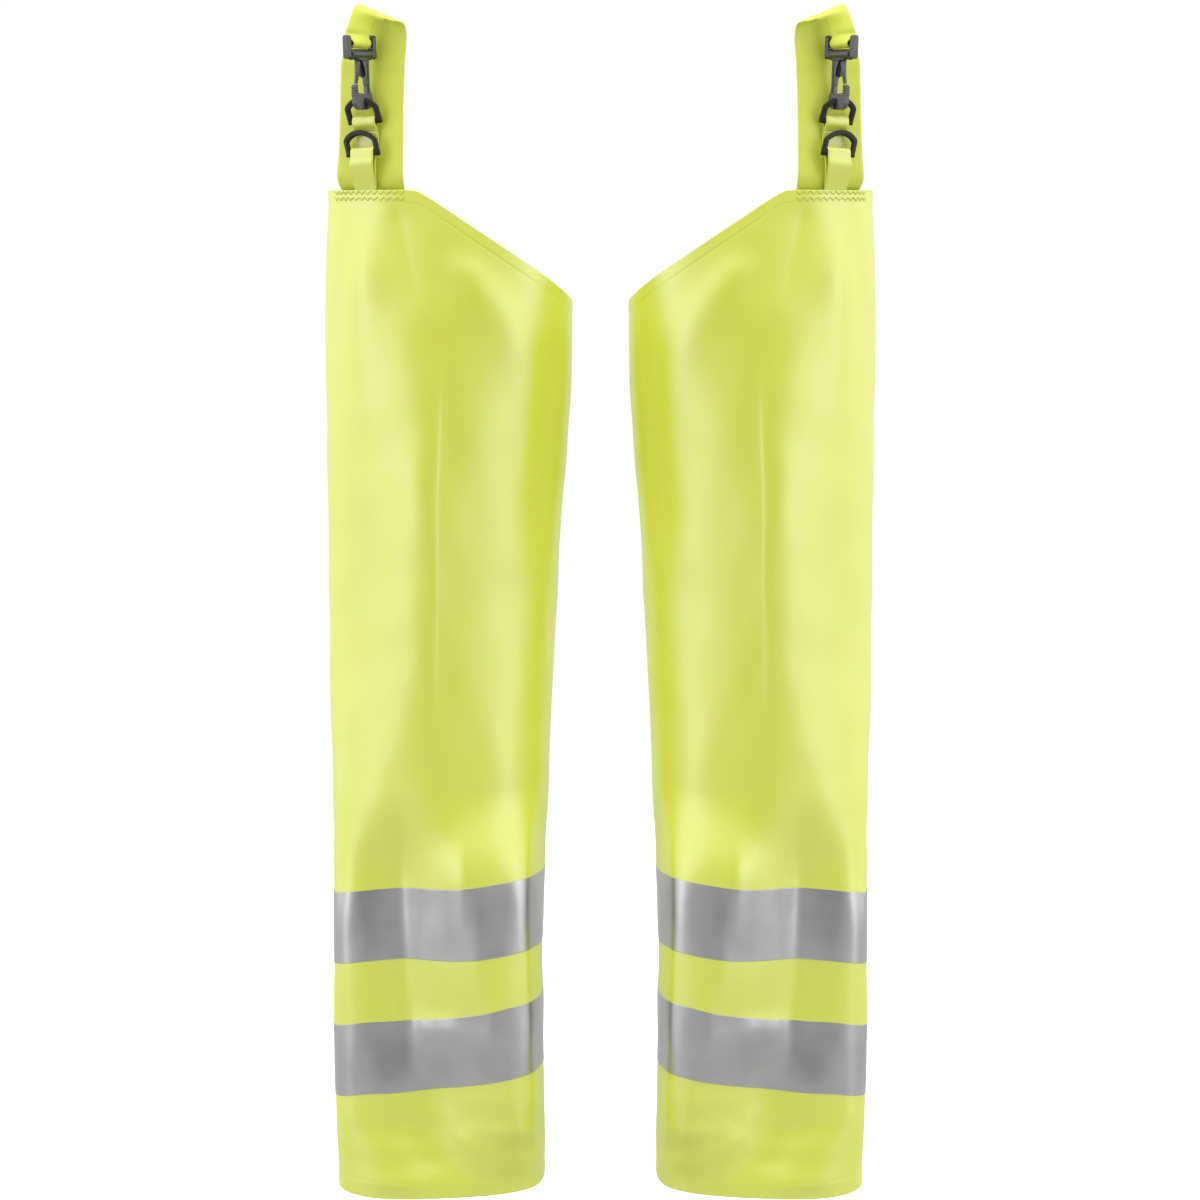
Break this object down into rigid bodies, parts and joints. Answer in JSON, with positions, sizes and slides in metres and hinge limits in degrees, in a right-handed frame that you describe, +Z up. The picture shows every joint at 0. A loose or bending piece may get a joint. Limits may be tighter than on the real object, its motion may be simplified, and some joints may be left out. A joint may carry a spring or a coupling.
{
  "type": "leg chaps",
  "caption": "Pair of high-visibility coated-fabric leg chaps with reflective tapes and snap-hook belt straps, worn over trousers as open leg tubes.",
  "frame": {"origin": "on the belt line, half-way between the two strap loops", "axes": "+Z up the legs, -Y to the wearer's front, +X to the wearer's left"},
  "size_m": [0.549, 0.2106, 1.1588],
  "materials": {
    "coated_fabric": "matt coated weave, fluorescent yellow",
    "seam_tape": "smooth translucent sealing tape",
    "reflective_tape": "silver retro-reflective, glass-bead surface",
    "thread": "twisted polyester",
    "black_plastic": "moulded acetal, satin"
  },
  "bodies": {
    "right_leg": {"right_front_panel": "coated_fabric", "right_back_panel": "coated_fabric", "right_top_facing": "coated_fabric", "right_hem_band": "coated_fabric", "right_inseam_tape": "seam_tape", "right_outseam_tape": "seam_tape", "right_upper_reflective_tape": "reflective_tape", "right_lower_reflective_tape": "reflective_tape", "right_belt_strap": "coated_fabric", "right_strap_stitching": "thread", "right_upper_webbing": "coated_fabric", "right_lower_webbing": "coated_fabric"},
    "right_ring": {"right_strap_ring": "black_plastic"},
    "right_hook": {"right_hook_body": "black_plastic"},
    "right_gate": {"right_hook_gate": "black_plastic"},
    "right_upper_d": {"right_upper_d_ring": "black_plastic"},
    "right_lower_d": {"right_lower_d_ring": "black_plastic"},
    "left_leg": {"left_front_panel": "coated_fabric", "left_back_panel": "coated_fabric", "left_top_facing": "coated_fabric", "left_hem_band": "coated_fabric", "left_inseam_tape": "seam_tape", "left_outseam_tape": "seam_tape", "left_upper_reflective_tape": "reflective_tape", "left_lower_reflective_tape": "reflective_tape", "left_belt_strap": "coated_fabric", "left_strap_stitching": "thread", "left_upper_webbing": "coated_fabric", "left_lower_webbing": "coated_fabric"},
    "left_ring": {"left_strap_ring": "black_plastic"},
    "left_hook": {"left_hook_body": "black_plastic"},
    "left_gate": {"left_hook_gate": "black_plastic"},
    "left_upper_d": {"left_upper_d_ring": "black_plastic"},
    "left_lower_d": {"left_lower_d_ring": "black_plastic"}
  },
  "joints": [
    {"name": "right_ring_swing", "type": "hinge", "parent": "right_leg", "child": "right_ring", "pos_m": [-0.23149, -0.00985, -0.017], "axis": [0.7084, 0.6912, 0.1428], "range_deg": [-8, 8]},
    {"name": "right_hook_swing", "type": "hinge", "parent": "right_ring", "child": "right_hook", "pos_m": [-0.23124, -0.00787, -0.02782], "axis": [0.7084, 0.6912, 0.1428], "range_deg": [-10.1, 10.1]},
    {"name": "right_gate_press", "type": "hinge", "parent": "right_hook", "child": "right_gate", "pos_m": [-0.23347, -0.00878, -0.03617], "axis": [0.7054, -0.6999, -0.1118], "range_deg": [0, 12], "stiffness_Nm_per_rad": 0.02},
    {"name": "right_upper_d_swing", "type": "hinge", "parent": "right_leg", "child": "right_upper_d", "pos_m": [-0.2276, 0.00651, -0.089], "axis": [0.9272, -0.3746, 0], "range_deg": [-1, 1]},
    {"name": "right_lower_d_swing", "type": "hinge", "parent": "right_leg", "child": "right_lower_d", "pos_m": [-0.22899, 0.00308, -0.121], "axis": [0.9272, -0.3746, 0], "range_deg": [0, 158]},
    {"name": "left_ring_swing", "type": "hinge", "parent": "left_leg", "child": "left_ring", "pos_m": [0.23149, -0.00985, -0.017], "axis": [0.7084, -0.6912, -0.1428], "range_deg": [-8, 8]},
    {"name": "left_hook_swing", "type": "hinge", "parent": "left_ring", "child": "left_hook", "pos_m": [0.23124, -0.00787, -0.02782], "axis": [0.7084, -0.6912, -0.1428], "range_deg": [-10.1, 10.1]},
    {"name": "left_gate_press", "type": "hinge", "parent": "left_hook", "child": "left_gate", "pos_m": [0.23347, -0.00878, -0.03617], "axis": [0.7054, 0.6999, 0.1118], "range_deg": [0, 12], "stiffness_Nm_per_rad": 0.02},
    {"name": "left_upper_d_swing", "type": "hinge", "parent": "left_leg", "child": "left_upper_d", "pos_m": [0.2276, 0.00651, -0.089], "axis": [0.9272, 0.3746, 0], "range_deg": [-1, 1]},
    {"name": "left_lower_d_swing", "type": "hinge", "parent": "left_leg", "child": "left_lower_d", "pos_m": [0.22899, 0.00308, -0.121], "axis": [0.9272, 0.3746, 0], "range_deg": [0, 158]},
    {"name": "left_leg_slide", "type": "slide", "parent": "right_leg", "child": "left_leg", "axis": [1, 0, 0], "range_m": [-0.03, 0.12]}
  ],
  "couplings": [
    {"joint": "right_hook_swing", "follows": "right_ring_swing", "ratio": -1.2576},
    {"joint": "left_hook_swing", "follows": "left_ring_swing", "ratio": -1.2576}
  ]
}
